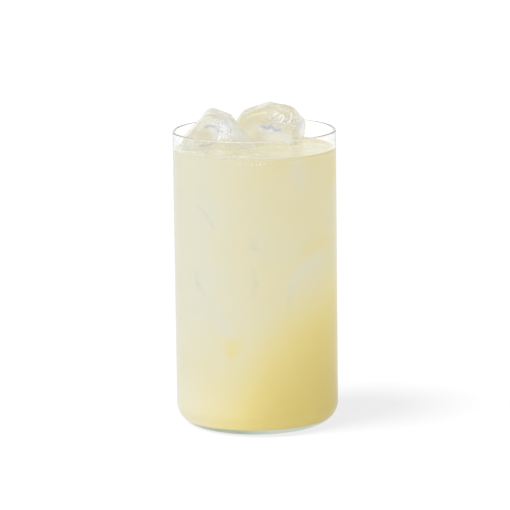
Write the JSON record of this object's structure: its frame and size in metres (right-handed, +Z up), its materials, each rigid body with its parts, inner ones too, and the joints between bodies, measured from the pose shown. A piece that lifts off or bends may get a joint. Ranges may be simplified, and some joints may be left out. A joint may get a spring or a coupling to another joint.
{
  "type": "glass of lemonade",
  "caption": "Straight clear tumbler with a rounded foot, filled with cloudy pale yellow lemonade, with ice standing out of the drink above the rim.",
  "frame": {"origin": "middle of the tumbler's foot, on the surface it stands on", "axes": "+Z up along the tumbler's axis; -Y is the front, with the block of ice that stands on a corner at its left (-X)"},
  "size_m": [0.075, 0.075, 0.147],
  "materials": {
    "glass": "clear polished glass",
    "lemonade": "cloudy pale yellow drink with a wet surface",
    "ice": "wet, melting clear ice with cloudy streaks"
  },
  "bodies": {
    "root": {"tumbler": "glass", "lemonade": "lemonade", "ice_peak": "ice", "ice_dome": "ice", "ice_low": "ice"}
  },
  "joints": []
}
